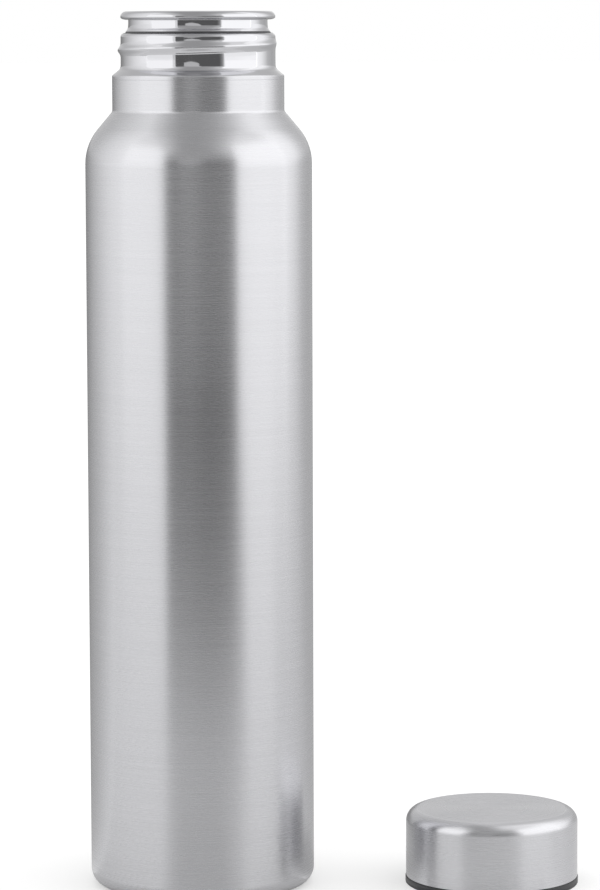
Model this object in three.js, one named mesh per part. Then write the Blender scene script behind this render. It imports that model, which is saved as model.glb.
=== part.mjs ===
// Stainless steel water bottle, with its screw cap taken off and standing beside it.
// Millimetres, +Z up. The origin is on the bottle's axis, in the plane that its foot stands on.
import * as THREE from "three";

// Sheet thicknesses and the gap left where two pieces are welded, pressed or trapped together
const bodySheet = 0.5;
const ringSheet = 0.6;
const capSheet = 0.5;
const seamGap = 0.3;

// Bottle: a straight tube with a coned shoulder, a short neck and a pressed base
const bottleHeight = 280;
const bodyDiameter = 72;
const neckDiameter = 54.6;
const neckLength = 10.1; // brushed neck, from the shoulder up to the ring's weld
const neckFillet = 1.5;
const shoulderRadius = 17;
const shoulderAngle = 40; // degrees between the shoulder's cone and the axis
const baseHeight = 9.5; // from the foot up to the base's weld
const baseCornerRadius = 6.8;
const footWidth = 3.5; // flat ring that the bottle stands on
const panelRise = 1.2; // how far the middle of the base is pushed up
const panelStep = 2; // width of the slope between foot and panel
const pressFillet = 0.8;

// Mouth ring, from the weld upwards: collar, bevel, threaded wall, groove and rolled lip
const collarHeight = 1.2;
const bevelDepth = 2.8;
const bevelHeight = 2.2;
const bevelEdgeRound = 0.6;
const bevelFillet = 2;
const threadWallHeight = 11.2;
const threadWallRound = 0.9;
const grooveDepth = 2.47;
const grooveHeight = 4.15;
const grooveFillet = 1.2;
const lipOverhang = 2.47;
const lipHeight = 2.65;
const lipRound = 1.28;
const mouthRound = 0.6;

// Thread: one bead, rolled into the mouth ring, right-handed and faded out at both ends
const threadLead = 4.1;
const threadHeight = 0.95;
const threadWidth = 2.8;
const threadStart = 38; // degrees from +X, seen from above
const threadSpan = 340;
const threadFade = 48;
const threadDrop = 7.35; // from the top of the threaded wall down to the bead's start

// Cap: a steel cup over a moulded liner, with a sealing ring trapped in the liner's top
const threadClearance = 0.35;
const linerWall = 1.05;
const linerTopWall = 1.85;
const rimHeight = 2.05; // moulded rim that shows below the steel cup
const rimOverhang = 0.2;
const rimRound = 0.45;
const rimTopRound = 0.2;
const mouthChamfer = 0.9; // lets the rim pass over the bevel when the cap is screwed home
const capEdgeRadius = 4.1;
const closedGap = 0.3; // between the rim's chamfer and the bottle's bevel when the cap is screwed home
const ridgeHeight = 0.9;
const ridgeWidth = 2;
const ridgeDrop = 2.3; // how far the liner's ridge runs below the bead when the cap is home
const gasketThickness = 1.8;
const gasketWidth = 4.8;
const gasketRound = 0.3;
const catchHeight = 0.5; // rib that keeps the sealing ring in the liner
const catchDepth = 0.65;

// Where the cap stands: clear space between it and the bottle, and how far it is to the front
const standOff = 29.6;
const capForward = 2.7;

// Facets, and limits of the outlines
const aroundSteps = 48;
const chordError = 0.06; // how far a rounded corner's facets may lie inside its arc
const mostReach = 0.49; // share of an outline's edge that one rounded corner may use up
const tiny = 1e-6;

// Sizes that follow from the ones above
const bodyRadius = bodyDiameter / 2;
const neckRadius = neckDiameter / 2;
const rootRadius = neckRadius - bevelDepth;
const crestRadius = rootRadius + threadHeight;
const grooveRadius = rootRadius - grooveDepth;
const lipRadius = grooveRadius + lipOverhang;
const lipUnder = bottleHeight - lipHeight;
const wallTop = lipUnder - grooveHeight;
const bevelTop = wallTop - threadWallHeight;
const bevelFoot = bevelTop - bevelHeight;
const ringFoot = bevelFoot - collarHeight;
const neckFoot = ringFoot - neckLength;
const threadFoot = wallTop - threadDrop;

const boreRadius = Math.max(crestRadius, lipRadius) + threadClearance;
const linerRadius = boreRadius + linerWall;
const capRadius = linerRadius + seamGap + capSheet;
const rimRadius = capRadius + rimOverhang;
const bevelUnderRim = ((neckRadius - boreRadius - mouthChamfer) * bevelHeight) / bevelDepth;
const closedRim = bevelFoot + bevelUnderRim + closedGap;
const gasketFace = bottleHeight - closedRim;
const linerCeiling = gasketFace + gasketThickness + seamGap;
const linerTop = linerCeiling + linerTopWall;
const capHeight = linerTop + seamGap + capSheet;
const capPlace = new THREE.Vector3(bodyRadius + standOff + rimRadius, -capForward, 0);

const finishes = {
  brushedSteel: new THREE.MeshStandardMaterial({ color: 0xb9b9bb, metalness: 1, roughness: 0.36 }),
  polishedSteel: new THREE.MeshStandardMaterial({ color: 0xd2d2d4, metalness: 1, roughness: 0.08 }),
  darkPlastic: new THREE.MeshStandardMaterial({ color: 0x38383a, metalness: 0, roughness: 0.5 }),
  silicone: new THREE.MeshStandardMaterial({ color: 0xdcdcd8, metalness: 0, roughness: 0.6 }),
};

// A corner of an outline: its radius from the axis, its height and the arc that rounds it.
// A corner of a thread form also says how far across the form it lies, and its share of the height.
function corner(r, z, round = 0, form = null) {
  return { at: new THREE.Vector2(r, z), round, form };
}

// The same run of corners, moved sideways by a sheet's thickness to the left of its direction.
function inset(corners, sheet) {
  const leftOf = (from, to) => {
    const along = to.clone().sub(from).normalize();
    return new THREE.Vector2(-along.y, along.x);
  };
  return corners.map(({ at, round, form }, i) => {
    const before = i > 0 ? leftOf(corners[i - 1].at, at) : null;
    const after = i < corners.length - 1 ? leftOf(at, corners[i + 1].at) : null;
    const sideA = before ?? after;
    const sideB = after ?? before;
    const middle = sideA.clone().add(sideB).normalize();
    const moved = at.clone().addScaledVector(middle, sheet / middle.dot(sideA));
    const turnsLeft = sideA.cross(sideB) > 0;
    const inner = turnsLeft ? Math.max(round - sheet, 0) : round + sheet;
    return { at: moved, round: round > 0 ? inner : 0, form };
  });
}

// The points of an outline, with an arc at each rounded corner that has a neighbour on both sides.
function roundedPoints(corners, closed) {
  const count = corners.length;
  return corners.flatMap(({ at, round, form }, i) => {
    const isEnd = !closed && (i === 0 || i === count - 1);
    const toBefore = corners[(i + count - 1) % count].at.clone().sub(at);
    const toAfter = corners[(i + 1) % count].at.clone().sub(at);
    const half = isEnd || round === 0 ? Math.PI / 2 : Math.abs(toBefore.angleTo(toAfter)) / 2;
    const room = mostReach * Math.min(toBefore.length(), toAfter.length());
    const reach = Math.min(round / Math.tan(half), room);
    const turn = Math.PI - 2 * half;
    if (turn < tiny || reach < tiny) return [{ at, form }];
    const radius = reach * Math.tan(half);
    toBefore.normalize();
    toAfter.normalize();
    const bisector = toBefore.clone().add(toAfter).normalize();
    const centre = at.clone().addScaledVector(bisector, radius / Math.sin(half));
    const first = at.clone().addScaledVector(toBefore, reach).sub(centre);
    const last = at.clone().addScaledVector(toAfter, reach).sub(centre);
    const way = Math.sign(first.cross(last));
    const stepAngle = 2 * Math.acos(Math.max(1 - chordError / radius, 0));
    const steps = Math.max(2, Math.ceil(turn / stepAngle));
    return Array.from({ length: steps + 1 }, (_, k) => {
      const swung = first.clone().rotateAround(new THREE.Vector2(), (way * turn * k) / steps);
      return { at: centre.clone().add(swung), form: null };
    });
  });
}

// A solid of revolution about Z. A closed outline makes a ring; an open one begins and ends on the axis.
function revolve(corners, closed = true) {
  const outline = roundedPoints(corners, closed);
  if (closed) outline.push(outline[0]);
  const geometry = new THREE.LatheGeometry(
    outline.map(({ at }) => at),
    aroundSteps,
  ).rotateX(Math.PI / 2);
  return { geometry, outline };
}

// A pressed sheet: the outer run of corners, and the same run moved in by the sheet's thickness.
function sheetLoop(corners, sheet) {
  return [...corners, ...inset(corners, sheet).reverse()];
}

// Corners along a straight wall that a thread form is rolled into, from low to high.
function threadCorners(radius, width, foot) {
  const halves = [
    { across: 0.5, share: 0 },
    { across: 0.3, share: 0.62 },
    { across: 0.11, share: 1 },
  ];
  const lower = halves.map(({ across, share }) => ({ across: -across, share }));
  return [...lower, ...halves.reverse()].map(({ across, share }) => {
    const offset = across * width;
    return corner(radius, foot + offset, 0, { offset, share });
  });
}

// Moves the thread form's rows of a revolved solid along the helix, and out or in by its height.
// Past the end of the bead the rows lie flat on the wall while they slide back to its start.
function rollThread({ geometry, outline }, { foot, height }) {
  const place = geometry.getAttribute("position");
  const climb = (threadLead * threadSpan) / 360;
  for (let i = 0; i < place.count; i += 1) {
    const { form } = outline[i % outline.length];
    if (!form) continue;
    const angle = THREE.MathUtils.radToDeg(Math.atan2(place.getY(i), place.getX(i)));
    const along = THREE.MathUtils.euclideanModulo(angle - threadStart, 360);
    const onBead = along <= threadSpan;
    const back = (along - threadSpan) / (360 - threadSpan);
    const rise = onBead ? (climb * along) / threadSpan : climb * (1 - back);
    const toEnd = Math.min(along, threadSpan - along);
    const share = onBead ? THREE.MathUtils.smoothstep(toEnd, 0, threadFade) : 0;
    const radius = Math.hypot(place.getX(i), place.getY(i));
    const scale = (radius + height * form.share * share) / radius;
    const z = foot + rise + form.offset;
    place.setXYZ(i, place.getX(i) * scale, place.getY(i) * scale, z);
  }
  return geometry;
}

function piece(name, geometry, finish) {
  const mesh = new THREE.Mesh(geometry, finish);
  mesh.name = name;
  return mesh;
}

// Tube, shoulder and neck, drawn from one sheet
function bodyShell() {
  const coneRun = bodyRadius - neckRadius;
  const coneRise = coneRun / Math.tan(THREE.MathUtils.degToRad(shoulderAngle));
  const outer = [
    corner(bodyRadius, baseHeight + seamGap),
    corner(bodyRadius, neckFoot - coneRise, shoulderRadius),
    corner(neckRadius, neckFoot, neckFillet),
    corner(neckRadius, ringFoot - seamGap),
  ];
  const { geometry } = revolve(sheetLoop(outer, bodySheet));
  return piece("body_shell", geometry, finishes.brushedSteel);
}

// Base pressed from one sheet: pushed-up panel, foot ring and round corner, welded under the tube
function baseCup() {
  const footInner = bodyRadius - baseCornerRadius - footWidth;
  const outer = [
    corner(0, panelRise),
    corner(footInner - panelStep, panelRise, pressFillet),
    corner(footInner, 0, pressFillet),
    corner(bodyRadius, 0, baseCornerRadius),
    corner(bodyRadius, baseHeight),
  ];
  const { geometry } = revolve(sheetLoop(outer, bodySheet), false);
  return piece("base_cup", geometry, finishes.brushedSteel);
}

// Threaded mouth, pressed as a ring and welded on the neck, with its lip rolled shut
function mouthRing() {
  const wall = [
    corner(neckRadius, ringFoot),
    corner(neckRadius, bevelFoot, bevelEdgeRound),
    corner(rootRadius, bevelTop, bevelFillet),
    ...threadCorners(rootRadius, threadWidth, threadFoot),
    corner(rootRadius, wallTop, threadWallRound),
    corner(grooveRadius, wallTop, grooveFillet),
    corner(grooveRadius, lipUnder, grooveFillet),
  ];
  const lip = [
    corner(lipRadius, lipUnder, lipRound),
    corner(lipRadius, bottleHeight, lipRound),
    corner(grooveRadius - ringSheet, bottleHeight, mouthRound),
  ];
  const inside = inset(wall, ringSheet).slice(0, -1).reverse();
  const ring = revolve([...wall, ...lip, ...inside]);
  rollThread(ring, { foot: threadFoot, height: threadHeight });
  return piece("mouth_ring", ring.geometry, finishes.polishedSteel);
}

// Steel cup of the cap
function capShell() {
  const outer = [
    corner(capRadius, rimHeight + seamGap),
    corner(capRadius, capHeight, capEdgeRadius),
    corner(0, capHeight),
  ];
  const inner = inset(outer, capSheet).reverse();
  const { geometry } = revolve([...inner, ...outer], false);
  return piece("cap_shell", geometry, finishes.brushedSteel);
}

// Moulded liner: its rim carries the steel cup, its ridge takes the thread and its top traps the seal
function capLiner() {
  const ridgeFoot = threadFoot - closedRim - ridgeDrop;
  const catchTop = gasketFace - seamGap;
  const catchFoot = catchTop - catchHeight;
  const catchRadius = boreRadius - catchDepth;
  const outside = [
    corner(rimRadius, 0, rimRound),
    corner(rimRadius, rimHeight, rimTopRound),
    corner(linerRadius, rimHeight),
    corner(linerRadius, linerTop, capEdgeRadius - capSheet - seamGap),
    corner(0, linerTop),
  ];
  const inside = [
    corner(0, linerCeiling),
    corner(boreRadius, linerCeiling),
    corner(boreRadius, catchTop),
    corner(catchRadius, catchTop),
    corner(catchRadius, catchFoot),
    corner(boreRadius, catchFoot - catchDepth),
    ...threadCorners(boreRadius, ridgeWidth, ridgeFoot).reverse(),
    corner(boreRadius, mouthChamfer),
    corner(boreRadius + mouthChamfer, 0),
  ];
  const liner = revolve([...inside, ...outside], false);
  rollThread(liner, { foot: ridgeFoot, height: -ridgeHeight });
  return piece("cap_liner", liner.geometry, finishes.darkPlastic);
}

// Flat sealing ring, which the bottle's lip presses on
function capGasket() {
  const outerRadius = boreRadius - seamGap;
  const innerRadius = outerRadius - gasketWidth;
  const top = gasketFace + gasketThickness;
  const { geometry } = revolve([
    corner(outerRadius, gasketFace, gasketRound),
    corner(outerRadius, top, gasketRound),
    corner(innerRadius, top, gasketRound),
    corner(innerRadius, gasketFace, gasketRound),
  ]);
  return piece("cap_gasket", geometry, finishes.silicone);
}

const bottle = new THREE.Group();
bottle.add(bodyShell(), baseCup(), mouthRing());

const cap = new THREE.Group();
cap.position.copy(capPlace);
cap.add(capShell(), capLiner(), capGasket());

const waterBottle = new THREE.Group();
waterBottle.add(bottle, cap);

export default waterBottle;
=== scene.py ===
# Stainless steel water bottle with its screw cap standing beside it: the looks, built round the CAD frame
import math

import bmesh
import bpy
from mathutils import Matrix, Vector


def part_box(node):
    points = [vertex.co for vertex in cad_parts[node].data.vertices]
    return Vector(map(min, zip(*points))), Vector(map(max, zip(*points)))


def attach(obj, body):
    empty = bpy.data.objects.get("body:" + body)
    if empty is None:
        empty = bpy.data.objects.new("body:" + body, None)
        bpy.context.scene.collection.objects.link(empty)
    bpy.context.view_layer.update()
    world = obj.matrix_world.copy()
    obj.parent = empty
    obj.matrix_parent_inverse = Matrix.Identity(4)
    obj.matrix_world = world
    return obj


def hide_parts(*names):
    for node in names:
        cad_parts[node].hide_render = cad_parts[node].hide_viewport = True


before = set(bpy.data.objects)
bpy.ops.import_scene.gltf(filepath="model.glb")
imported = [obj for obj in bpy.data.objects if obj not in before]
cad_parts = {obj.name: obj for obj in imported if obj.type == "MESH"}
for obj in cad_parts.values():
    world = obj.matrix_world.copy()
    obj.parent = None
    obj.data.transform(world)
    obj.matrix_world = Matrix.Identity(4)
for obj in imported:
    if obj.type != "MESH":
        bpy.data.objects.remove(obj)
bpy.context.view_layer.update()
mm = 0.001
print("frame loaded:", sorted(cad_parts))


# Camera, as far away and as long as the photograph's own
cameraSettings = {
    "place": (31.9 * mm, -1219.4 * mm, 274.3 * mm),
    "pitchDown": 6.2,  # degrees below the horizon
    "roll": -0.18,
    "lens": 154.9,
    "sensor": 36,  # mm, along the picture's long side
    "clip": (0.05, 100),
}


def makeCamera(settings):
    data = bpy.data.cameras.new("photo_camera")
    data.lens = settings["lens"]
    data.sensor_width = settings["sensor"]
    data.clip_start, data.clip_end = settings["clip"]
    camera = bpy.data.objects.new("photo_camera", data)
    bpy.context.scene.collection.objects.link(camera)
    tilt = Matrix.Rotation(math.radians(90 - settings["pitchDown"]), 4, "X")
    roll = Matrix.Rotation(math.radians(settings["roll"]), 4, "Z")
    camera.matrix_world = Matrix.Translation(settings["place"]) @ tilt @ roll
    bpy.context.scene.camera = camera


makeCamera(cameraSettings)
bpy.context.scene.view_settings.view_transform = "Standard"
print("camera set")


# Small helpers for outlines, meshes and shader nodes
runSettings = {
    "arcStep": math.radians(6),
    "support": 0.15 * mm,  # from an arc's end to the support point beside it
    "fewestSteps": 4,
    "sharedSide": 0.49,  # most that an arc takes of a side whose other end is rounded too
    "ownSide": 0.95,
}
spinSettings = {
    "steps": 256,
    "sharp": math.radians(32),  # edges that bend more than this stay creased
    "tiny": 1e-7,  # metres; points nearer than this count as one
}


def roundedRun(corners, arcStep=runSettings["arcStep"], support=runSettings["support"]):
    # corners are (radius, height, rounding); each rounded one becomes an arc
    # with a support point on either side of it
    points = []
    for i, (r, z, rounding) in enumerate(corners):
        here = Vector((r, z))
        if rounding <= 0 or i in (0, len(corners) - 1):
            points.append(here)
            continue
        back = Vector(corners[i - 1][:2]) - here
        ahead = Vector(corners[i + 1][:2]) - here
        half = back.angle(ahead) / 2
        reach = rounding / math.tan(half)
        for side, other in ((back, corners[i - 1]), (ahead, corners[i + 1])):
            share = runSettings["sharedSide"] if other[2] > 0 else runSettings["ownSide"]
            reach = min(reach, side.length * share)
        radius = reach * math.tan(half)
        before = min(reach + support, (reach + back.length) / 2)
        after = min(reach + support, (reach + ahead.length) / 2)
        back.normalize()
        ahead.normalize()
        centre = here + (back + ahead).normalized() * (radius / math.sin(half))
        first = here + back * reach - centre
        turn = math.pi - 2 * half
        way = 1 if first.cross(here + ahead * reach - centre) > 0 else -1
        steps = max(runSettings["fewestSteps"], math.ceil(turn / arcStep))
        points.append(here + back * before)
        for k in range(steps + 1):
            points.append(centre + Matrix.Rotation(way * turn * k / steps, 2) @ first)
        points.append(here + ahead * after)
    return points


def insetRun(corners, sheet):
    # the same run, moved to the left of its direction by the sheet's thickness
    moved = []
    for i, (r, z, rounding) in enumerate(corners):
        here = Vector((r, z))
        sides = []
        if i > 0:
            along = (here - Vector(corners[i - 1][:2])).normalized()
            sides.append(Vector((-along.y, along.x)))
        if i < len(corners) - 1:
            along = (Vector(corners[i + 1][:2]) - here).normalized()
            sides.append(Vector((-along.y, along.x)))
        middle = (sides[0] + sides[-1]).normalized()
        place = here + middle * (sheet / middle.dot(sides[0]))
        turnsLeft = sides[0].cross(sides[-1]) > 0
        inner = max(rounding - sheet, 0) if turnsLeft else rounding + sheet
        moved.append((place.x, place.y, inner if rounding > 0 else 0))
    return moved


def splitRun(points, longest):
    # adds points on long straight stretches
    dense = [points[0]]
    for a, b in zip(points, points[1:]):
        parts = max(1, math.ceil((b - a).length / longest))
        dense += [a.lerp(b, k / parts) for k in range(1, parts + 1)]
    return dense


def inSlot(points, slot):
    return [(point, slot) for point in points]


def spinPiece(name, outline, centre=(0, 0), closed=True, shape=None):
    # outline is (point, material slot) in order; shape may move a point by its angle
    steps, tiny = spinSettings["steps"], spinSettings["tiny"]
    rows, slots = [], []
    for point, slot in outline:
        if not rows or (point - rows[-1]).length > tiny:
            rows.append(point)
            slots.append(slot)
    if closed:
        rows.append(rows[0])
        slots.append(slots[-1])
    bm = bmesh.new()
    brush = bm.loops.layers.uv.new("brush")  # metres round the piece and along its outline
    lengths = [0]
    for a, b in zip(rows, rows[1:]):
        lengths.append(lengths[-1] + (b - a).length)
    girth = max(p.x for p in rows) * 2 * math.pi
    grid = []
    for j, p in enumerate(rows):
        if closed and j == len(rows) - 1:
            grid.append(grid[0])
            continue
        ring = []
        for i in range(1 if p.x < tiny else steps):  # one point where the outline meets the axis
            angle = 2 * math.pi * i / steps
            r, z = shape(angle, p) if shape else (p.x, p.y)
            x = centre[0] + r * math.cos(angle)
            y = centre[1] + r * math.sin(angle)
            ring.append(bm.verts.new((x, y, z)))
        grid.append(ring)
    for j in range(len(rows) - 1):
        low, high = grid[j], grid[j + 1]
        for i in range(steps):
            k = (i + 1) % steps
            corners = [(low, i, i, j), (low, k, i + 1, j), (high, k, i + 1, j + 1), (high, i, i, j + 1)]
            picked = []
            for ring, at, turn, row in corners:
                vert = ring[at % len(ring)]
                if vert not in [v for v, _ in picked]:
                    picked.append((vert, (girth * turn / steps, lengths[row])))
            if len(picked) < 3:
                continue
            face = bm.faces.new([v for v, _ in picked])
            face.smooth = True
            face.material_index = slots[j]
            for loop, (_, uv) in zip(face.loops, picked):
                loop[brush].uv = uv
    bmesh.ops.recalc_face_normals(bm, faces=bm.faces)
    for edge in bm.edges:
        edge.smooth = edge.calc_face_angle(0) < spinSettings["sharp"]
    mesh = bpy.data.meshes.new(name)
    bm.to_mesh(mesh)
    bm.free()
    piece = bpy.data.objects.new(name, mesh)
    bpy.context.scene.collection.objects.link(piece)
    return piece


def hexColour(code):
    # sRGB hex to linear
    parts = [int(code[i : i + 2], 16) / 255 for i in (1, 3, 5)]
    return [c / 12.92 if c <= 0.04045 else ((c + 0.055) / 1.055) ** 2.4 for c in parts] + [1]


def addNode(tree, kind, inputs=None, **settings):
    # inputs take a value, or another node's output to link
    node = tree.nodes.new(kind)
    for key, value in settings.items():
        setattr(node, key, value)
    for socket, value in (inputs or {}).items():
        if isinstance(value, bpy.types.NodeSocket):
            tree.links.new(value, node.inputs[socket])
        else:
            node.inputs[socket].default_value = value
    return node


def newMaterial(name):
    material = bpy.data.materials.new(name)
    material.use_nodes = True
    material.node_tree.nodes.clear()
    return material, material.node_tree


noiseRange = (0.3, 0.7)  # most of a noise's values lie between these
noiseSumRange = (0.65, 1.35)  # and those of two noises added together
scratchFineness = 0.6  # share of each finer layer in a scratch's noise


# Stainless steel, brushed round on a lathe: fine scratches run round the wall, so what it reflects
# is drawn out up and down and shows as soft upright bands, with faint hairlines across them
def brushedSteel(name, settings):
    material, tree = newMaterial(name)
    place = addNode(tree, "ShaderNodeTexCoord")
    across = addNode(tree, "ShaderNodeSeparateXYZ", {"Vector": place.outputs["Object"]})
    brush = addNode(tree, "ShaderNodeUVMap", uv_map="brush")
    along = addNode(tree, "ShaderNodeSeparateXYZ", {"Vector": brush.outputs["UV"]})
    lathe = addNode(tree, "ShaderNodeCombineXYZ", {
        "X": across.outputs["X"],
        "Y": across.outputs["Y"],
        "Z": along.outputs["Y"],
    })
    layers = []
    for length, width, detail in (settings["scratch"], settings["hairline"]):
        stretch = addNode(tree, "ShaderNodeMapping", {
            "Vector": lathe.outputs["Vector"],
            "Scale": (1 / length, 1 / length, 1 / width),
        })
        noise = addNode(tree, "ShaderNodeTexNoise", {
            "Vector": stretch.outputs["Vector"],
            "Scale": 1, "Detail": detail, "Roughness": scratchFineness,
        })
        layers.append(noise.outputs["Fac"])
    rough = addNode(tree, "ShaderNodeMapRange", {
        "Value": layers[0],
        "From Min": noiseRange[0], "From Max": noiseRange[1],
        "To Min": settings["roughness"] - settings["roughnessSpread"],
        "To Max": settings["roughness"] + settings["roughnessSpread"],
    })
    both = addNode(tree, "ShaderNodeMath", {0: layers[0], 1: layers[1]}, operation="ADD")
    tone = addNode(tree, "ShaderNodeMapRange", {
        "Value": both.outputs["Value"],
        "From Min": noiseSumRange[0], "From Max": noiseSumRange[1],
    })
    colour = addNode(tree, "ShaderNodeMix", {
        "Factor": tone.outputs["Result"],
        "A": hexColour(settings["dark"]),
        "B": hexColour(settings["light"]),
    }, data_type="RGBA")
    sheet = addNode(tree, "ShaderNodeTexNoise", {
        "Vector": place.outputs["Object"],
        "Scale": 1 / settings["waveSize"], "Detail": 1,
    })
    wavy = addNode(tree, "ShaderNodeBump", {
        "Height": sheet.outputs["Fac"],
        "Strength": 1, "Distance": settings["waveDepth"],
    })
    bump = addNode(tree, "ShaderNodeBump", {
        "Height": layers[0],
        "Strength": settings["bump"], "Distance": settings["scratchDepth"],
        "Normal": wavy.outputs["Normal"],
    })
    tangent = addNode(tree, "ShaderNodeTangent", direction_type="RADIAL", axis="Z")
    steel = addNode(tree, "ShaderNodeBsdfPrincipled", {
        "Base Color": colour.outputs["Result"],
        "Metallic": 1,
        "Roughness": rough.outputs["Result"],
        "Anisotropic": settings["anisotropy"],
        "Anisotropic Rotation": 0.25,  # a quarter turn: the blur runs across the scratches
        "Tangent": tangent.outputs["Tangent"],
        "Normal": bump.outputs["Normal"],
    })
    addNode(tree, "ShaderNodeOutputMaterial", {"Surface": steel.outputs["BSDF"]})
    return material


# Stainless steel, buffed to a mirror: sharp reflections, a little bent by the wavy pressing,
# with a thin haze in patches
def polishedSteel(name, settings):
    material, tree = newMaterial(name)
    place = addNode(tree, "ShaderNodeTexCoord")
    haze = addNode(tree, "ShaderNodeTexNoise", {
        "Vector": place.outputs["Object"],
        "Scale": 1 / settings["hazeSize"], "Detail": 3,
    })
    clear, hazy = settings["hazeSpread"]
    rough = addNode(tree, "ShaderNodeMapRange", {
        "Value": haze.outputs["Fac"],
        "From Min": noiseRange[0], "From Max": noiseRange[1],
        "To Min": settings["roughness"] * clear, "To Max": settings["roughness"] * hazy,
    })
    sheet = addNode(tree, "ShaderNodeTexNoise", {
        "Vector": place.outputs["Object"],
        "Scale": 1 / settings["waveSize"], "Detail": 1,
    })
    wavy = addNode(tree, "ShaderNodeBump", {
        "Height": sheet.outputs["Fac"],
        "Strength": 1, "Distance": settings["waveDepth"],
    })
    steel = addNode(tree, "ShaderNodeBsdfPrincipled", {
        "Base Color": hexColour(settings["colour"]),
        "Metallic": 1,
        "Roughness": rough.outputs["Result"],
        "Normal": wavy.outputs["Normal"],
    })
    addNode(tree, "ShaderNodeOutputMaterial", {"Surface": steel.outputs["BSDF"]})
    return material


# Polypropylene, moulded in a spark-eroded tool: a fine even grain, and a soft sheen
def mouldedPolypropylene(name, settings):
    material, tree = newMaterial(name)
    place = addNode(tree, "ShaderNodeTexCoord")
    grain = addNode(tree, "ShaderNodeTexNoise", {
        "Vector": place.outputs["Object"],
        "Scale": 1 / settings["grain"], "Detail": 2,
    })
    colour = addNode(tree, "ShaderNodeMix", {
        "Factor": grain.outputs["Fac"],
        "A": hexColour(settings["dark"]),
        "B": hexColour(settings["light"]),
    }, data_type="RGBA")
    bump = addNode(tree, "ShaderNodeBump", {
        "Height": grain.outputs["Fac"],
        "Strength": settings["bump"], "Distance": settings["grainDepth"],
    })
    plastic = addNode(tree, "ShaderNodeBsdfPrincipled", {
        "Base Color": colour.outputs["Result"],
        "Roughness": settings["roughness"],
        "IOR": settings["ior"],
        "Normal": bump.outputs["Normal"],
    })
    addNode(tree, "ShaderNodeOutputMaterial", {"Surface": plastic.outputs["BSDF"]})
    return material


# Silicone rubber, moulded: milky and a little see-through, with a dull skin
def mouldedSilicone(name, settings):
    material, tree = newMaterial(name)
    place = addNode(tree, "ShaderNodeTexCoord")
    skin = addNode(tree, "ShaderNodeTexNoise", {
        "Vector": place.outputs["Object"],
        "Scale": 1 / settings["skin"], "Detail": 3,
    })
    colour = addNode(tree, "ShaderNodeMix", {
        "Factor": skin.outputs["Fac"],
        "A": hexColour(settings["dark"]),
        "B": hexColour(settings["light"]),
    }, data_type="RGBA")
    bump = addNode(tree, "ShaderNodeBump", {
        "Height": skin.outputs["Fac"],
        "Strength": settings["bump"], "Distance": settings["skinDepth"],
    })
    rubber = addNode(tree, "ShaderNodeBsdfPrincipled", {
        "Base Color": colour.outputs["Result"],
        "Roughness": settings["roughness"],
        "IOR": settings["ior"],
        "Subsurface Weight": settings["milkiness"],
        "Subsurface Radius": settings["glowTint"],
        "Subsurface Scale": settings["glowReach"],
        "Normal": bump.outputs["Normal"],
    })
    addNode(tree, "ShaderNodeOutputMaterial", {"Surface": rubber.outputs["BSDF"]})
    return material


bodySteel = brushedSteel("brushed_stainless_steel", {
    "dark": "#d0d0d3",
    "light": "#d5d5d8",
    "roughness": 0.27,
    "roughnessSpread": 0.015,
    "anisotropy": 0.58,
    "scratch": (30 * mm, 0.25 * mm, 2),  # length, width and detail; coarser than the real 0.05 mm, to show
    "hairline": (45 * mm, 1.1 * mm, 3),
    "scratchDepth": 0.004 * mm,
    "bump": 0.04,
    "waveSize": 28 * mm,
    "waveDepth": 0.02 * mm,
})
capSteel = brushedSteel("spun_stainless_steel", {  # the same, with a soft fan of light on the flat top
    "dark": "#d4d4d7",
    "light": "#d8d8db",
    "roughness": 0.28,
    "roughnessSpread": 0.015,
    "anisotropy": 0.78,
    "scratch": (24 * mm, 0.25 * mm, 2),
    "hairline": (40 * mm, 1 * mm, 3),
    "scratchDepth": 0.004 * mm,
    "bump": 0.04,
    "waveSize": 20 * mm,
    "waveDepth": 0.01 * mm,
})
innerSteel = brushedSteel("drawn_stainless_steel", {  # as the die left it: dull and a little streaky
    "dark": "#c4c4c7",
    "light": "#cfcfd2",
    "roughness": 0.42,
    "roughnessSpread": 0.06,
    "anisotropy": 0.3,
    "scratch": (60 * mm, 0.8 * mm, 3),
    "hairline": (80 * mm, 3 * mm, 2),
    "scratchDepth": 0.01 * mm,
    "bump": 0.2,
    "waveSize": 25 * mm,
    "waveDepth": 0.02 * mm,
})
creaseShadeSteel = brushedSteel("crease_painted_shade_steel", {  # painted shade: a dark steel colour standing in for the shade in the crease at the groove's foot
    "dark": "#5b5b5d",
    "light": "#6c6c6e",
    "roughness": 0.5,
    "roughnessSpread": 0.05,
    "anisotropy": 0.2,
    "scratch": (20 * mm, 0.4 * mm, 2),
    "hairline": (40 * mm, 1 * mm, 2),
    "scratchDepth": 0.01 * mm,
    "bump": 0.2,
    "waveSize": 20 * mm,
    "waveDepth": 0.01 * mm,
})
mouthSteel = polishedSteel("mirror_polished_stainless_steel", {
    "colour": "#d2d2d5",
    "roughness": 0.06,
    "hazeSize": 6 * mm,
    "hazeSpread": (0.7, 1.4),  # times the roughness
    "waveSize": 9 * mm,
    "waveDepth": 0.008 * mm,
})
linerPlastic = mouldedPolypropylene("moulded_polypropylene", {
    "dark": "#353537",
    "light": "#434345",
    "roughness": 0.42,
    "ior": 1.49,
    "grain": 0.4 * mm,  # drawn coarser than the real 0.1 mm, to show
    "grainDepth": 0.02 * mm,
    "bump": 0.3,
})
sealSilicone = mouldedSilicone("moulded_silicone", {
    "dark": "#d4d4d0",
    "light": "#e2e2de",
    "roughness": 0.55,
    "ior": 1.43,
    "milkiness": 0.3,
    "glowTint": (1, 0.9, 0.8),
    "glowReach": 1 * mm,
    "skin": 1.2 * mm,
    "skinDepth": 0.02 * mm,
    "bump": 0.2,
})
print("materials made")


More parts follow.
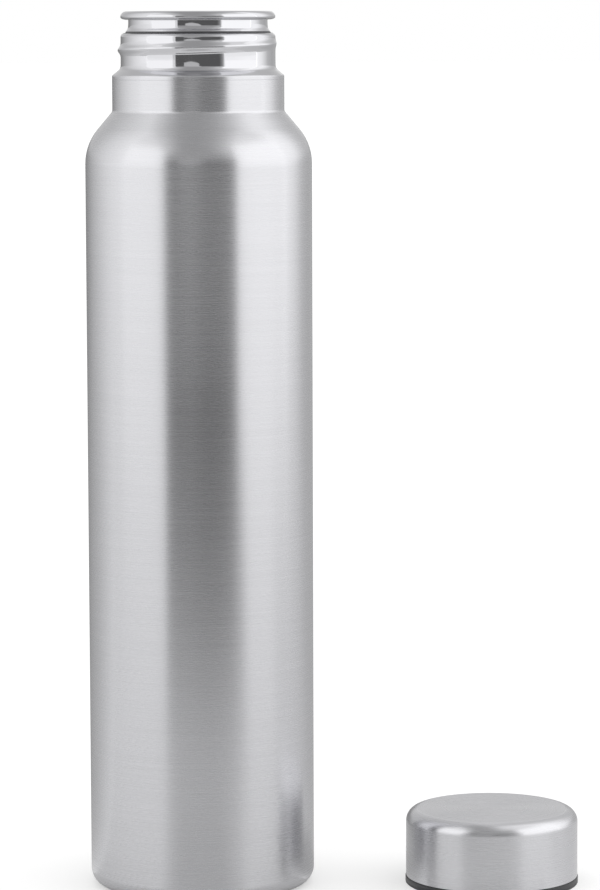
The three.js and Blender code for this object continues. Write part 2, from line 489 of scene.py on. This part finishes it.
# Sizes that the frame gives
bodyLow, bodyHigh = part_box("body_shell")
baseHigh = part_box("base_cup")[1]
ringLow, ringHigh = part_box("mouth_ring")
shellLow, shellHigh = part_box("cap_shell")
linerLow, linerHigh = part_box("cap_liner")
gasketLow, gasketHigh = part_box("cap_gasket")
bodyRadius = (bodyHigh.x - bodyLow.x) / 2
neckRadius = (ringHigh.x - ringLow.x) / 2
capRadius = (shellHigh.x - shellLow.x) / 2
rimRadius = (linerHigh.x - linerLow.x) / 2
capCentre = ((shellLow.x + shellHigh.x) / 2, (shellLow.y + shellHigh.y) / 2)
seam = 0.01 * mm  # left where two pieces are welded or pressed together
weldChamfer = 0.04 * mm  # on both edges of the weld under the mouth
outside, inside = 0, 1  # places of a sheet's two finishes among its piece's materials


def finishPiece(piece, node, body, materials):
    for material in materials:
        piece.data.materials.append(material)
    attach(piece, body)
    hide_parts(node)


# Tube, shoulder and neck
bodySettings = {
    "sheet": 0.5 * mm,
    "neckFoot": 248.5 * mm,
    "neckFillet": 1.5 * mm,
    "shoulderRadius": 17 * mm,
    "shoulderAngle": 40,  # degrees from the axis
    "rowSpacing": 10 * mm,
}


def makeBody(settings):
    rise = (bodyRadius - neckRadius) / math.tan(math.radians(settings["shoulderAngle"]))
    top = ringLow.z - seam
    outer = [
        (bodyRadius, baseHigh.z + seam, 0),
        (bodyRadius, settings["neckFoot"] - rise, settings["shoulderRadius"]),
        (neckRadius, settings["neckFoot"], settings["neckFillet"]),
        (neckRadius, top, 0),
    ]
    inner = insetRun(outer, settings["sheet"])[::-1]
    outer[-1:] = [(neckRadius, top - weldChamfer, 0), (neckRadius - weldChamfer, top, 0)]
    outerRun = splitRun(roundedRun(outer), settings["rowSpacing"])
    innerRun = splitRun(roundedRun(inner), settings["rowSpacing"])
    piece = spinPiece("body_wall", inSlot(outerRun, outside) + inSlot(innerRun, inside))
    finishPiece(piece, "body_shell", "bottle", [bodySteel, innerSteel])


makeBody(bodySettings)
print("body made")


# Pressed base
baseSettings = {
    "sheet": 0.5 * mm,
    "cornerRadius": 6.8 * mm,
    "footWidth": 3.5 * mm,
    "panelRise": 1.2 * mm,
    "panelStep": 2 * mm,
    "fillet": 0.8 * mm,
    "arcStep": math.radians(3),
    "rowSpacing": 4 * mm,
}


def makeBase(settings):
    footInner = bodyRadius - settings["cornerRadius"] - settings["footWidth"]
    outer = [
        (0, settings["panelRise"], 0),
        (footInner - settings["panelStep"], settings["panelRise"], settings["fillet"]),
        (footInner, 0, settings["fillet"]),
        (bodyRadius, 0, settings["cornerRadius"]),
        (bodyRadius, baseHigh.z, 0),
    ]
    inner = insetRun(outer, settings["sheet"])[::-1]
    outerRun = splitRun(roundedRun(outer, settings["arcStep"]), settings["rowSpacing"])
    innerRun = splitRun(roundedRun(inner), settings["rowSpacing"])
    outline = inSlot(outerRun, outside) + inSlot(innerRun, inside)
    piece = spinPiece("base_pressing", outline, closed=False)
    finishPiece(piece, "base_cup", "bottle", [bodySteel, innerSteel])


makeBase(baseSettings)
print("base made")


# Thread form, shared by the mouth and the cap
threadSettings = {
    "lead": 4.1 * mm,
    "start": 38,  # degrees from +X, seen from above
    "span": 340,
    "fade": 48,  # degrees over which it rises and dies away at its ends
}


def threadLift(angle, z, foot, above, below):
    # share of the full height at this place: 1 on the crest, dying away above and below it
    along = (math.degrees(angle) - threadSettings["start"]) % 360
    if along > threadSettings["span"]:
        return 0
    toEnd = min(along, threadSettings["span"] - along) / threadSettings["fade"]
    fade = 1 if toEnd > 1 else toEnd * toEnd * (3 - 2 * toEnd)  # smooth at both its ends
    offset = z - foot - threadSettings["lead"] * along / 360
    return fade * math.exp(-((offset / (above if offset > 0 else below)) ** 2))


# Threaded mouth
mouthSettings = {
    "sheet": 0.6 * mm,
    "bevelFoot": 1.2 * mm,  # above the weld
    "bevelDepth": 2.8 * mm,
    "bevelEdge": 0.6 * mm,
    "bevelFillet": 2 * mm,
    "mirrorStart": 0.15 * mm,  # above the bevel's foot
    "wall": 11.2 * mm,
    "wallRound": 1.4 * mm,
    "wallFlare": (0.1 * mm, 2.2 * mm),  # how far the wall opens above the bevel, and over what height
    "grooveDepth": 2.47 * mm,
    "grooveHeight": 4.15 * mm,
    "grooveFoot": (1.05 * mm, 0.12 * mm, 1.45 * mm),  # how far it opens below and above, and how high
    "grooveFlare": 2.6 * mm,
    "footRound": 1 * mm,
    "flareRound": 22 * mm,
    "lipOverhang": 2.47 * mm,
    "lipHeight": 2.65 * mm,
    "lipFillet": 0.2 * mm,
    "lipBelly": 0.8 * mm,  # height of the lip's widest place above its underside
    "lipLowWidth": 2 * mm,
    "lipTopWidth": 1.7 * mm,
    "lipSteps": (12, 18),  # below its widest place and above it
    "innerRound": 0.6 * mm,
    # how far the painted crease shade band reaches below and above the wall's top
    "creaseBelow": 0.25 * mm,
    "creaseAbove": 0.4 * mm,
    "threadHeight": 0.95 * mm,
    "threadAbove": 1.1 * mm,
    "threadBelow": 1.15 * mm,
    "threadDrop": 7.1 * mm,  # from the wall's top down to the thread's start
    "threadReach": 1.1,  # thicknesses of the sheet that are rolled out with it
    "rowSpacing": 0.2 * mm,
}


def makeMouth(settings):
    rootRadius = neckRadius - settings["bevelDepth"]
    grooveRadius = rootRadius - settings["grooveDepth"]
    lipRadius = grooveRadius + settings["lipOverhang"]
    lipUnder = ringHigh.z - settings["lipHeight"]
    wallTop = lipUnder - settings["grooveHeight"]
    bevelTop = wallTop - settings["wall"]
    bevelFoot = ringLow.z + settings["bevelFoot"]
    threadFoot = wallTop - settings["threadDrop"]
    wallOut, wallRise = settings["wallFlare"]
    footOut, aboveOut, aboveRise = settings["grooveFoot"]
    belly = settings["lipBelly"]
    wall = [
        (neckRadius, ringLow.z, 0),
        (neckRadius, bevelFoot, settings["bevelEdge"]),
        (rootRadius + wallOut, bevelTop, settings["bevelFillet"]),
        (rootRadius, bevelTop + wallRise, settings["flareRound"]),
        (rootRadius, wallTop, settings["wallRound"]),
        (grooveRadius + footOut, wallTop, 0),
        (grooveRadius + aboveOut, wallTop + aboveRise, settings["footRound"]),
        (grooveRadius, wallTop + settings["grooveFlare"], settings["flareRound"]),
        (grooveRadius, lipUnder, settings["lipFillet"]),
        (lipRadius - settings["lipLowWidth"], lipUnder, 0),
    ]
    inner = insetRun(wall, settings["sheet"])[:-2][::-1]
    wall[:1] = [(neckRadius - weldChamfer, ringLow.z, 0), (neckRadius, ringLow.z + weldChamfer, 0)]
    outerRun = splitRun(roundedRun(wall), settings["rowSpacing"])
    lipRun = []
    lowSteps, topSteps = settings["lipSteps"]
    for k in range(-lowSteps, topSteps + 1):
        turn = math.radians(90 * k / (lowSteps if k < 0 else topSteps))
        width = settings["lipLowWidth"] if k < 0 else settings["lipTopWidth"]
        height = belly if k < 0 else settings["lipHeight"] - belly
        r = lipRadius - width * (1 - math.cos(turn))
        lipRun.append(Vector((r, lipUnder + belly + height * math.sin(turn))))
    mouthEdge = [
        (lipRun[-1].x, ringHigh.z, 0),
        (grooveRadius - settings["sheet"], ringHigh.z, settings["innerRound"]),
    ]
    innerRun = splitRun(roundedRun(mouthEdge + inner), settings["rowSpacing"])
    finishes = [mouthSteel, bodySteel, creaseShadeSteel, innerSteel]
    polished, brushed, crease, bore = range(len(finishes))

    def outerSlot(point):
        if point.y < bevelFoot + settings["mirrorStart"]:
            return brushed
        # a thin band round the groove's foot takes the painted crease shade
        inCrease = wallTop - settings["creaseBelow"] < point.y < wallTop + settings["creaseAbove"]
        return crease if inCrease else polished

    def innerSlot(point):
        return polished if point.y > ringHigh.z - settings["innerRound"] else bore

    def roll(angle, point):
        onWall = abs(point.x - rootRadius) < settings["sheet"] * settings["threadReach"]
        if not (onWall and bevelTop < point.y < wallTop):
            return point.x, point.y
        lift = threadLift(angle, point.y, threadFoot, settings["threadAbove"], settings["threadBelow"])
        return point.x + settings["threadHeight"] * lift, point.y

    outline = [(p, outerSlot(p)) for p in outerRun]
    outline += inSlot(lipRun, polished)
    outline += [(p, innerSlot(p)) for p in innerRun]
    piece = spinPiece("threaded_mouth", outline, shape=roll)
    finishPiece(piece, "mouth_ring", "bottle", finishes)


makeMouth(mouthSettings)
print("mouth made")


# Steel cup of the cap
shellSettings = {
    "sheet": 0.5 * mm,
    "edgeRadius": 4.1 * mm,
    "hemRound": 0.22 * mm,  # lower edge
    "arcStep": math.radians(4),
    "support": 0.05 * mm,
    "rowSpacing": 2 * mm,
}


def makeCapShell(settings):
    outer = [
        (capRadius, shellLow.z, 0),
        (capRadius, shellHigh.z, settings["edgeRadius"]),
        (0, shellHigh.z, 0),
    ]
    inner = insetRun(outer, settings["sheet"])[::-1]
    hem = (capRadius - settings["sheet"] / 2, shellLow.z, 0)
    outer[:1] = [hem, (capRadius, shellLow.z, settings["hemRound"])]
    outerRun = splitRun(roundedRun(outer, settings["arcStep"], settings["support"]), settings["rowSpacing"])
    innerRun = splitRun(roundedRun(inner), settings["rowSpacing"])
    outline = inSlot(innerRun, inside) + inSlot(outerRun, outside)
    piece = spinPiece("cap_cup", outline, centre=capCentre, closed=False)
    finishPiece(piece, "cap_shell", "cap", [capSteel, innerSteel])


makeCapShell(shellSettings)
print("cap cup made")


# Moulded liner of the cap
linerSettings = {
    "wall": 1.05 * mm,
    "topWall": 1.85 * mm,
    "rimGap": 0.05 * mm,  # under the steel cup's edge
    "rimRound": 0.45 * mm,
    "rimTopRound": 0.2 * mm,
    "pressGap": 0.3 * mm,
    "topRound": 3.3 * mm,
    "edgeRound": 0.1 * mm,  # on the small edges
    "mouthChamfer": 0.9 * mm,
    "catchHeight": 0.5 * mm,
    "catchDepth": 0.65 * mm,
    "catchGap": 0.3 * mm,
    "catchRounds": (0.15 * mm, 0.2 * mm, 0.3 * mm),  # its top, its foot and the end of the slope below it
    "ridgeHeight": 0.9 * mm,
    "ridgeReach": 0.75 * mm,
    "ridgeFoot": 2.98 * mm,
    "boreBand": 0.01 * mm,  # points nearer to the bore than this carry the ridge
    "support": 0.05 * mm,
    "rowSpacing": 0.4 * mm,
}


def makeLiner(settings):
    linerRadius = capRadius - shellSettings["sheet"] - settings["pressGap"]
    boreRadius = linerRadius - settings["wall"]
    ceiling = linerHigh.z - settings["topWall"]
    rimTop = shellLow.z - settings["rimGap"]
    catchTop = gasketLow.z - settings["catchGap"]
    catchFoot = catchTop - settings["catchHeight"]
    catchRadius = boreRadius - settings["catchDepth"]
    edge = settings["edgeRound"]
    topRound, footRound, slopeRound = settings["catchRounds"]
    corners = [
        (0, ceiling, 0),
        (boreRadius, ceiling, edge),
        (boreRadius, catchTop, edge),
        (catchRadius, catchTop, topRound),
        (catchRadius, catchFoot, footRound),
        (boreRadius, catchFoot - settings["catchDepth"], slopeRound),
        (boreRadius, settings["mouthChamfer"], edge),
        (boreRadius + settings["mouthChamfer"], 0, edge),
        (rimRadius, 0, settings["rimRound"]),
        (rimRadius, rimTop, settings["rimTopRound"]),
        (linerRadius, rimTop, edge),
        (linerRadius, linerHigh.z, settings["topRound"]),
        (0, linerHigh.z, 0),
    ]
    run = splitRun(roundedRun(corners, support=settings["support"]), settings["rowSpacing"])

    def roll(angle, point):
        onBore = abs(point.x - boreRadius) < settings["boreBand"]
        if not (onBore and settings["mouthChamfer"] < point.y < catchFoot):
            return point.x, point.y
        reach = settings["ridgeReach"]
        lift = threadLift(angle, point.y, settings["ridgeFoot"], reach, reach)
        return point.x - settings["ridgeHeight"] * lift, point.y

    piece = spinPiece("cap_insert", inSlot(run, 0), centre=capCentre, closed=False, shape=roll)
    finishPiece(piece, "cap_liner", "cap", [linerPlastic])


makeLiner(linerSettings)
print("liner made")


# Sealing ring
gasketSettings = {
    "width": 4.8 * mm,
    "round": 0.3 * mm,
    "support": 0.05 * mm,
    "rowSpacing": 0.5 * mm,
}


def makeGasket(settings):
    outerRadius = (gasketHigh.x - gasketLow.x) / 2
    innerRadius = outerRadius - settings["width"]
    middle = (outerRadius + innerRadius) / 2
    corners = [
        (middle, gasketLow.z, 0),
        (outerRadius, gasketLow.z, settings["round"]),
        (outerRadius, gasketHigh.z, settings["round"]),
        (innerRadius, gasketHigh.z, settings["round"]),
        (innerRadius, gasketLow.z, settings["round"]),
        (middle, gasketLow.z, 0),
    ]
    run = splitRun(roundedRun(corners, support=settings["support"]), settings["rowSpacing"])
    piece = spinPiece("sealing_ring", inSlot(run[:-1], 0), centre=capCentre)
    finishPiece(piece, "cap_gasket", "cap_seal", [sealSilicone])


makeGasket(gasketSettings)
print("gasket made")


# Floor and world, white where the camera or a shiny surface sees them
stageSettings = {
    "floorReach": 30,
    "floorAlbedo": 0.67,
    "floorGlowSeen": 0.5,
    "floorGlow": 0.1,
    "floorMirrored": 0.2,  # share of the difference that shiny surfaces see
    "worldSeen": 1,
    "worldDiffuse": 0.9,
}


def seenRays(tree, share):
    # 1 for what the camera sees, a share of that in a reflection or through glass,
    # and 0 for the light that falls on dull surfaces
    path = addNode(tree, "ShaderNodeLightPath")
    mirrored = addNode(tree, "ShaderNodeMath", {
        0: path.outputs["Is Glossy Ray"],
        1: path.outputs["Is Transmission Ray"],
    }, operation="MAXIMUM")
    seen = addNode(tree, "ShaderNodeMath", {
        0: mirrored.outputs["Value"],
        1: share,
        2: path.outputs["Is Camera Ray"],
    }, operation="MULTIPLY_ADD")
    return seen.outputs["Value"]


def makeFloor(settings):
    reach = settings["floorReach"]
    mesh = bpy.data.meshes.new("floor")
    square = [(-reach, -reach, 0), (reach, -reach, 0), (reach, reach, 0), (-reach, reach, 0)]
    mesh.from_pydata(square, [], [(0, 1, 2, 3)])
    floor = bpy.data.objects.new("floor", mesh)
    bpy.context.scene.collection.objects.link(floor)
    material, tree = newMaterial("pale_floor")  # matt paint, which shows only the soft shadows
    albedo = settings["floorAlbedo"]
    paint = addNode(tree, "ShaderNodeBsdfDiffuse", {"Color": (albedo, albedo, albedo, 1)})
    level = addNode(tree, "ShaderNodeMapRange", {
        "Value": seenRays(tree, settings["floorMirrored"]),
        "To Min": settings["floorGlow"], "To Max": settings["floorGlowSeen"],
    })
    glow = addNode(tree, "ShaderNodeEmission", {"Strength": level.outputs["Result"]})
    both = addNode(tree, "ShaderNodeAddShader", {0: paint.outputs["BSDF"], 1: glow.outputs["Emission"]})
    addNode(tree, "ShaderNodeOutputMaterial", {"Surface": both.outputs["Shader"]})
    mesh.materials.append(material)


def makeWorld(settings):
    world = bpy.data.worlds.new("white_studio")
    bpy.context.scene.world = world
    world.use_nodes = True
    tree = world.node_tree
    tree.nodes.clear()
    level = addNode(tree, "ShaderNodeMapRange", {
        "Value": seenRays(tree, 1),
        "To Min": settings["worldDiffuse"], "To Max": settings["worldSeen"],
    })
    white = addNode(tree, "ShaderNodeBackground", {
        "Color": (1, 1, 1, 1),
        "Strength": level.outputs["Result"],
    })
    addNode(tree, "ShaderNodeOutputWorld", {"Surface": white.outputs["Background"]})


makeFloor(stageSettings)
makeWorld(stageSettings)
bpy.context.scene.cycles.caustics_reflective = False  # the steel throws no light on the floor beside it


# Studio cards and lamps, in metres; azimuth 0 is towards the camera and grows to its right, in degrees
sweepSettings = {  # curved cards: two edges as (distance, height), and levels of grey by azimuth
    "dark_front": {
        "edges": ((1.45, 0), (1.45, 0.62)),
        "levels": [(-32, 0.13), (33, 0.13), (37, 0.3), (42, 0.9)],
    },
    "grey_front": {
        "edges": ((1.42, 0.5), (1.42, 2.05)),
        "levels": [(-32, 0.44), (26, 0.44), (38, 0.7)],
    },
    "dark_low_front": {
        "edges": ((0.4, 0), (0.4, 0.115)),
        "levels": [(-32, 0.3), (-26, 0.26), (-18, 0.23), (-9, 0.2), (0, 0.17),
                   (13, 0.17), (22, 0.19), (31, 0.25), (40, 0.45), (48, 0.9)],
    },
    "table_front": {
        "edges": ((0.042, 0.001), (0.17, 0.001)),
        "levels": [(-32, 0.74), (-24, 0.65), (-17, 0.585), (17, 0.585), (26, 0.66), (36, 0.75)],
    },
    # painted shade: a dark card on the floor between the bottle and the cap, seen only in reflections
    "table_shade_right": {
        "edges": ((0.037, 0.0015), (0.1, 0.0015)),
        "levels": [(74, 0.8), (82, 0.56), (95, 0.45), (118, 0.45), (134, 0.55)],
    },
    "low_back": {
        "edges": ((2, 0), (2, 0.37)),
        "levels": [(-80, 1.27), (-94, 1.17), (-106, 1.03), (-121, 0.8), (-138, 0.54),
                   (-148, 0.38), (-165, 0.24), (-184, 0.26), (-197, 0.52), (-215, 0.52),
                   (-232, 0.65), (-242, 0.96), (-250, 1.2), (-262, 1.38)],
    },
    "high_back": {
        "edges": ((2, 0.37), (0.6, 3.3)),
        "levels": [(-80, 1.2), (-100, 1.05), (-115, 0.92), (-125, 0.8), (-136, 0.68),
                   (-146, 0.62), (-166, 0.65), (-178, 0.75), (-187, 0.86), (-196, 0.66), (-206, 0.62),
                   (-214, 0.66), (-224, 0.78), (-234, 1.06), (-246, 1.34), (-262, 1.34)],
    },
    "table_behind": {
        "edges": ((0.04, 0.001), (2, 0.001)),
        "levels": [(-95, 0.87), (-110, 0.72), (-125, 0.58), (-138, 0.5), (-148, 0.42),
                   (-164, 0.28), (-184, 0.3), (-196, 0.48), (-205, 0.5), (-225, 0.57),
                   (-240, 0.68), (-260, 0.71), (-276, 0.73), (-283, 0.82)],
    },
}
overheadSettings = {
    "grey": 0.65,
    "distance": 1.37,
    "high": 0.52,
    "lower": [(-0.62, 0.46), (-0.56, 0.37), (-0.3, 0.3), (-0.15, 0.3), (0.06, 0.36), (0.17, 0.48)],
    "round": 0.1,  # at the corners of the lower edge
}
ceilingSettings = {
    "height": 0.48,
    "depth": [(-0.45, 2), (-0.05, 1), (0.08, 1)],  # front to back, and how much wider it is there
    "levels": [(-0.15, 0.88), (-0.114, 0.75), (-0.087, 0.58), (-0.06, 0.43), (0, 0.42), (0.047, 0.47),
               (0.074, 0.56), (0.102, 0.7), (0.131, 0.92)],  # levels of grey from left to right
}
lampSettings = {
    "left": {"azimuths": (-36, -80), "heights": (0.04, 0.9), "radiance": 0.37},
    "right": {"azimuths": (40, 99), "heights": (0.04, 1.06), "radiance": 0.45},
    "distance": 0.9,
}


def around(azimuth, distance, height):
    a = math.radians(azimuth)
    return Vector((distance * math.sin(a), -distance * math.cos(a), height))


def makeCard(name, rows, levels):
    # rows of points, low to high, and levels of grey as (share of the way along a row, level);
    # a card lights nothing and only shiny surfaces see it
    points = [point for row in rows for point in row]
    wide = len(rows[0])
    faces = []
    for j in range(len(rows) - 1):
        for i in range(wide - 1):
            faces.append((j * wide + i, j * wide + i + 1, (j + 1) * wide + i + 1, (j + 1) * wide + i))
    mesh = bpy.data.meshes.new(name)
    mesh.from_pydata(points, [], faces)
    uvs = mesh.uv_layers.new(name="card")
    for loop in mesh.loops:
        j, i = divmod(loop.vertex_index, wide)
        uvs.data[loop.index].uv = (i / (wide - 1), j / (len(rows) - 1))
    card = bpy.data.objects.new(name, mesh)
    bpy.context.scene.collection.objects.link(card)
    material, tree = newMaterial(name + "_paper")
    place = addNode(tree, "ShaderNodeUVMap", uv_map="card")
    side = addNode(tree, "ShaderNodeSeparateXYZ", {"Vector": place.outputs["UV"]})
    ramp = addNode(tree, "ShaderNodeValToRGB", {"Fac": side.outputs["X"]})
    stops = ramp.color_ramp.elements
    stops.remove(stops[-1])
    brightest = max(level for _, level in levels)
    for k, (share, level) in enumerate(levels):
        stop = stops.new(share) if k else stops[0]
        stop.color = [level / brightest] * 3 + [1]
    glow = addNode(tree, "ShaderNodeEmission", {"Color": ramp.outputs["Color"], "Strength": brightest})
    addNode(tree, "ShaderNodeOutputMaterial", {"Surface": glow.outputs["Emission"]})
    mesh.materials.append(material)
    card.visible_camera = False
    card.visible_diffuse = False
    card.visible_shadow = False


def shares(levels):
    # the places of the levels as shares of the way from the first to the last
    first, last = levels[0][0], levels[-1][0]
    return [((place - first) / (last - first), level) for place, level in levels]


def makeSweep(name, settings, steps=48):
    first, last = settings["levels"][0][0], settings["levels"][-1][0]
    azimuths = [first + (last - first) * i / steps for i in range(steps + 1)]
    rows = [[around(a, distance, height) for a in azimuths] for distance, height in settings["edges"]]
    makeCard(name, rows, shares(settings["levels"]))


def makeOverhead(settings):
    # hangs over the camera, with a rounded lower edge
    distance, high = settings["distance"], settings["high"]
    edge = settings["lower"]
    corners = [(edge[0][0], high, 0)]
    corners += [(x, z, settings["round"]) for x, z in edge]
    corners.append((edge[-1][0], high, 0))
    outline = roundedRun(corners, support=0)
    lower = [Vector((p.x, -distance, p.y)) for p in outline]
    upper = [Vector((p.x, -distance, high)) for p in outline]
    makeCard("overhead", [lower, upper], [(0, settings["grey"])])


def makeCeiling(settings, steps=24):
    # fans out towards the front
    left, right = settings["levels"][0][0], settings["levels"][-1][0]
    across = [left + (right - left) * i / steps for i in range(steps + 1)]
    rows = []
    for y, spread in settings["depth"]:
        rows.append([Vector((x * spread, y, settings["height"])) for x in across])
    makeCard("ceiling", rows, shares(settings["levels"]))


def makeLamp(name, settings, distance):
    # a softbox between two azimuths
    near, far = settings["azimuths"]
    low, high = settings["heights"]
    middle = (near + far) / 2
    width = 2 * distance * math.tan(math.radians(abs(far - near) / 2))
    data = bpy.data.lights.new(name, "AREA")
    data.shape = "RECTANGLE"
    data.size, data.size_y = width, high - low
    data.energy = settings["radiance"] * math.pi * width * (high - low)
    lamp = bpy.data.objects.new(name, data)
    bpy.context.scene.collection.objects.link(lamp)
    place = around(middle, distance, (low + high) / 2)
    facing = Vector((-place.x, -place.y, 0)).to_track_quat("-Z", "Y")
    lamp.matrix_world = Matrix.LocRotScale(place, facing, Vector((1, 1, 1)))
    lamp.visible_camera = False


for name, settings in sweepSettings.items():
    makeSweep(name, settings)
makeOverhead(overheadSettings)
makeCeiling(ceilingSettings)
makeLamp("left_softbox", lampSettings["left"], lampSettings["distance"])
makeLamp("right_softbox", lampSettings["right"], lampSettings["distance"])
print("stage made")
